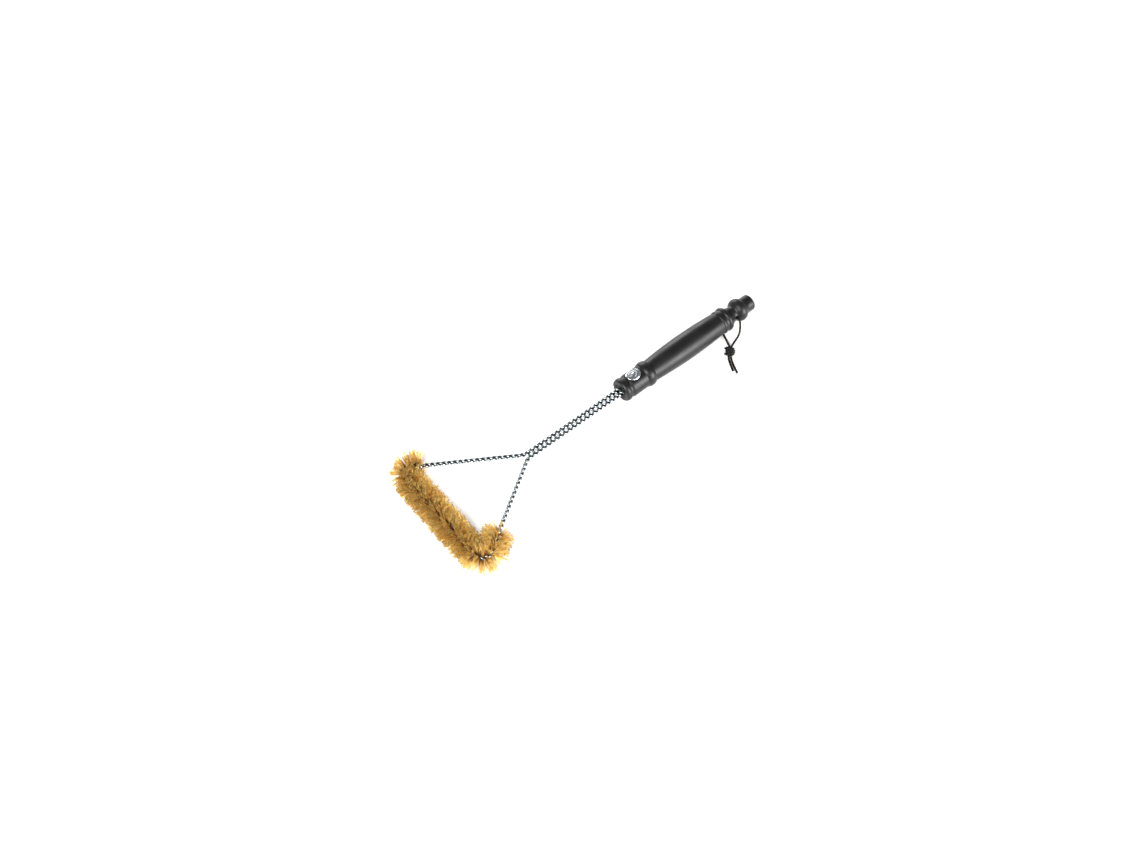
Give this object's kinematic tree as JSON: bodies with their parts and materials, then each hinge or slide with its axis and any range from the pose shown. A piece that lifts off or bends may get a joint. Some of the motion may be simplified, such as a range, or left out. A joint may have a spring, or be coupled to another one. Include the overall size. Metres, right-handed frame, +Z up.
{
  "type": "grill cleaning brush",
  "caption": "Long-handled grill brush: twisted wire stems fork into a triangular head with brass bristles, black turned handle, cord hanging loop.",
  "frame": {"origin": "bottom centre of the box round the brush as it lies on its bristles, measured without the hanging cord", "axes": "+X from the handle towards the head, +Z up from the table, +Y to the left of the handle's user, towards the hanging loop"},
  "size_m": [0.46, 0.17, 0.0336],
  "materials": {
    "handle_plastic": "satin moulded, charcoal black",
    "badge_metal": "satin silver, stamped",
    "adhesive_foam": "closed-cell foam tape",
    "clamp_nylon": "natural moulded",
    "plated_steel": "zinc plated",
    "galvanised_wire": "drawn and galvanised",
    "brass_bristle": "fine drawn brass wire",
    "leather_cord": "round cord, dyed black"
  },
  "bodies": {
    "root": {"handle_grip": "handle_plastic", "handle_end_cap": "handle_plastic", "badge": "badge_metal", "badge_adhesive_pad": "adhesive_foam", "stem_clamp_upper": "clamp_nylon", "stem_clamp_lower": "clamp_nylon", "stem_ferrule": "plated_steel", "core_wire_a": "galvanised_wire", "core_wire_b": "galvanised_wire", "bristles_near_arm": "brass_bristle", "bristles_near_corner": "brass_bristle", "bristles_front_1": "brass_bristle", "bristles_front_2": "brass_bristle", "bristles_front_3": "brass_bristle", "bristles_far_corner": "brass_bristle", "bristles_far_arm": "brass_bristle", "hang_cord_bight": "leather_cord"},
    "hang_loop": {"hang_cord_near_strand": "leather_cord", "hang_cord_far_strand": "leather_cord", "hang_cord_knot": "leather_cord", "hang_cord_first_tail": "leather_cord", "hang_cord_second_tail": "leather_cord"}
  },
  "joints": [
    {"name": "hang_loop_swing", "type": "hinge", "parent": "root", "child": "hang_loop", "pos_m": [-0.2014, 0.00985, 0.01944], "axis": [0.6865, -0.1667, -0.7077], "range_deg": [0, 30]}
  ]
}
